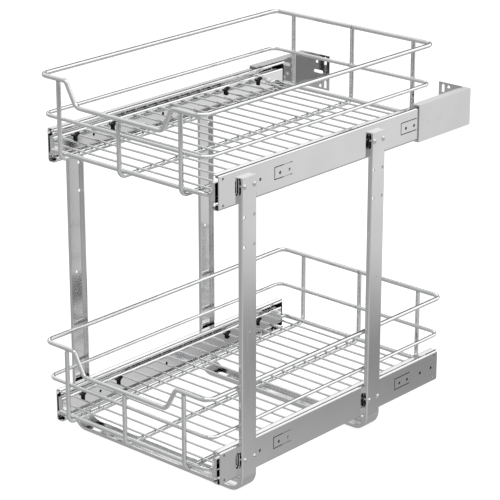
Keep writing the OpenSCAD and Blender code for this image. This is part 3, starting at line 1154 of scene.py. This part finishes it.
@dataclass
class StudioWalls:
    """The studio round the basket, as light whose tone depends on its direction alone.

    In front stands a grey room under a bright ceiling, with a darker wall and a low panel on its right. At
    the rear a dark wall with a bright panel stands on the left and a lit sweep on the right, greyer to its
    far end. A dark gap in the ceiling draws the thin dark lines along polished wire. The camera itself sees
    a plain white room.

    An edge is a pair of values between which one tone gives way to the next. Most are shares of the
    direction, from -1 to 1. The ceiling's are sums of up and rear, the far wall's are right divided by
    rear, and the gap's are cosines of the angle to its middle.
    """

    room_tone: float = 0.52
    ceiling_tone: float = 1.0
    overhead_tone: float = 0.55
    panel_tone: float = 1.6
    side_tone: float = 0.36
    low_panel_tone: float = 0.72
    far_wall_tone: float = 0.78
    dark_tone: float = 0.03
    camera_tone: float = 1.0
    horizon_edge: Span = (-0.05, 0.05)
    rear_edge: Span = (0.22, 0.42)
    right_edge: Span = (-0.15, 0.25)
    ceiling_edge: Span = (-0.8, 0.5)
    overhead_edge: Span = (0.80, 0.95)
    side_edge: Span = (0.30, 0.45)
    low_panel_edge: Span = (-0.29, -0.33)
    left_panel_edge: Span = (0.20, 0.32)
    left_wall_edge: Span = (-0.38, -0.34)
    far_wall_edge: Span = (0.91, 1.0)
    gap_middle: tuple[float, float, float] = (-0.30, 0.70, 0.65)
    gap_edge: Span = (0.93, 0.955)
    sweep_tones: tuple[Span, ...] = ((-0.60, 0.52), (-0.44, 0.60), (-0.415, 0.50), (-0.392, 0.315),
                                     (-0.376, 0.39), (-0.350, 0.89), (-0.32, 1.03), (-0.20, 0.92))

    def __post_init__(self) -> None:
        """Make the world and take the direction apart into its shares to the right, rear and up."""
        world = bpy.data.worlds.new("studio")
        bpy.context.scene.world = world
        self.board = cleared_board(world)
        self.toward: Socket = self.board.add("ShaderNodeTexCoord").outputs["Generated"]
        self.right, self.rear, self.up = self.board.add("ShaderNodeSeparateXYZ", self.toward).outputs
        self.above = self.board.step(self.up, self.horizon_edge)

    def sweep(self) -> Socket:
        """The lit sweep behind on the right, by height.

        Returns:
            The socket with the tone.
        """
        lowest, highest = self.sweep_tones[0][0], self.sweep_tones[-1][0]
        spread = self.board.spread(self.up, (lowest, highest), (0.0, 1.0))
        ramp = self.board.add("ShaderNodeValToRGB", spread)
        stops = ramp.color_ramp.elements
        for k, (height, tone) in enumerate(self.sweep_tones):
            position = (height - lowest) / (highest - lowest)
            stop = stops[k] if k < 2 else stops.new(position)
            stop.position = position
            stop.color = (tone, tone, tone, 1.0)
        return ramp.outputs["Color"]

    def front_half(self) -> Socket:
        """The room in front of the basket.

        Returns:
            The socket with the tone.
        """
        board = self.board
        overhead = board.add("ShaderNodeMath", self.up, self.rear, operation="ADD").outputs["Value"]
        room = board.mix(board.step(overhead, self.ceiling_edge), self.room_tone, self.ceiling_tone)
        side_wall = board.mix(board.step(self.up, self.low_panel_edge), self.side_tone, self.low_panel_tone)
        lower = board.mix(board.step(self.right, self.side_edge), self.room_tone, side_wall)
        return board.mix(self.above, lower, room)

    def rear_half(self) -> Socket:
        """The walls and panels behind the basket.

        Returns:
            The socket with the tone.
        """
        board = self.board
        panel = board.mix(board.step(self.up, self.left_panel_edge), self.dark_tone, self.panel_tone)
        left = board.mix(board.step(self.up, self.left_wall_edge), self.room_tone, panel)
        bearing = board.add("ShaderNodeMath", self.right, self.rear, operation="DIVIDE").outputs["Value"]
        wall = board.mix(board.step(bearing, self.far_wall_edge), self.sweep(), self.far_wall_tone)
        right = board.mix(self.above, wall, self.panel_tone)
        return board.mix(board.step(self.right, self.right_edge), left, right)

    def ceiling_gap(self) -> Socket:
        """A mask of the dark gap in the ceiling.

        Returns:
            The socket with the mask.
        """
        centre = tuple(Vector(self.gap_middle).normalized())
        near = self.board.add("ShaderNodeVectorMath", self.toward, centre, operation="DOT_PRODUCT")
        return self.board.step(near.outputs["Value"], self.gap_edge)

    def build(self) -> None:
        """Put all tones together and light the world with them."""
        board = self.board
        behind = board.step(self.rear, self.rear_edge)
        tone = board.mix(behind, self.front_half(), self.rear_half())
        tone = board.mix(self.ceiling_gap(), tone, self.dark_tone)
        tone = board.mix(board.step(self.up, self.overhead_edge), tone, self.overhead_tone)
        seen = board.add("ShaderNodeLightPath").outputs["Is Camera Ray"]
        background = board.add("ShaderNodeBackground", Strength=board.mix(seen, tone, self.camera_tone))
        board.add("ShaderNodeOutputWorld", Surface=background.outputs["Background"])


@dataclass
class Studio:
    """Floor, light and camera. The pale floor is what the camera sees under the basket."""

    camera_place: tuple[float, float, float] = (1.80094, -2.02389, 1.23451)
    yaw: float = math.radians(41.92)
    pitch: float = math.radians(-20.18)
    lens_mm: float = 153.5
    sensor_mm: float = 36.0
    floor_size: float = 60.0
    floor_glow: float = 0.80
    floor_grey: float = 0.45
    softbox_place: tuple[float, float, float] = (0.3, 0.2, 2.6)
    softbox_target: tuple[float, float, float] = (0.0, 0.0, 0.25)
    softbox_size: float = 1.8
    softbox_watts: float = 18.0

    def build_camera(self) -> None:
        """Set up the scene's camera by its place, yaw and pitch."""
        data = bpy.data.cameras.new("camera")
        data.lens = self.lens_mm
        data.sensor_width = self.sensor_mm
        camera = bpy.data.objects.new("camera", data)
        camera.location = self.camera_place
        camera.rotation_euler = (math.pi / 2 + self.pitch, 0.0, self.yaw)
        bpy.context.scene.collection.objects.link(camera)
        bpy.context.scene.camera = camera

    def build_floor(self) -> None:
        """Lay a wide pale floor, which reflections pass through to the studio."""
        maker = bmesh.new()
        bmesh.ops.create_grid(maker, x_segments=1, y_segments=1, size=self.floor_size / 2)
        floor = piece_from("floor", maker, smooth=False)
        material = bpy.data.materials.new("studio_floor")
        board = cleared_board(material)
        glow = board.add("ShaderNodeEmission", Strength=self.floor_glow)
        matt = board.add("ShaderNodeBsdfDiffuse", Color=(*(self.floor_grey,) * 3, 1.0))
        shown = board.add("ShaderNodeAddShader", glow.outputs["Emission"], matt.outputs["BSDF"])
        passed = board.add("ShaderNodeBsdfTransparent")
        seen = board.add("ShaderNodeLightPath").outputs["Is Camera Ray"]
        mix = board.add("ShaderNodeMixShader", seen, passed.outputs["BSDF"], shown.outputs["Shader"])
        board.add("ShaderNodeOutputMaterial", Surface=mix.outputs["Shader"])
        floor.data.materials.append(material)

    def build_softbox(self) -> None:
        """Hang a square soft light over the basket, turned to its middle."""
        data = bpy.data.lights.new("overhead_softbox", "AREA")
        data.size = self.softbox_size
        data.energy = self.softbox_watts
        light = bpy.data.objects.new("overhead_softbox", data)
        light.location = self.softbox_place
        aim = Vector(self.softbox_target) - Vector(self.softbox_place)
        light.rotation_euler = aim.to_track_quat("-Z", "Y").to_euler()
        bpy.context.scene.collection.objects.link(light)

    def build(self) -> None:
        """Set up the whole studio."""
        self.build_camera()
        self.build_floor()
        StudioWalls().build()
        self.build_softbox()
        scene = bpy.context.scene
        scene.view_settings.view_transform = "Standard"
        scene.view_settings.look = "None"


def main() -> None:
    """Build everything in order."""
    logging.basicConfig(level=logging.INFO, format="%(name)s: %(message)s")
    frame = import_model()
    nodes = frame["nodes"]
    Studio().build()
    paint = Paintbox()
    pieces = StandingFrame(nodes, paint).build()
    for tier, count in ((Tier.LOWER, 19), (Tier.UPPER, 18)):
        pieces += SlidePair(tier, nodes, paint).build()
        pieces += WireBasket(tier, nodes, paint, cross_wires=count).build()
    for piece in pieces:
        LOG.info("%s: %d faces", piece.name, len(piece.data.polygons))


if __name__ == "__main__":
    main()
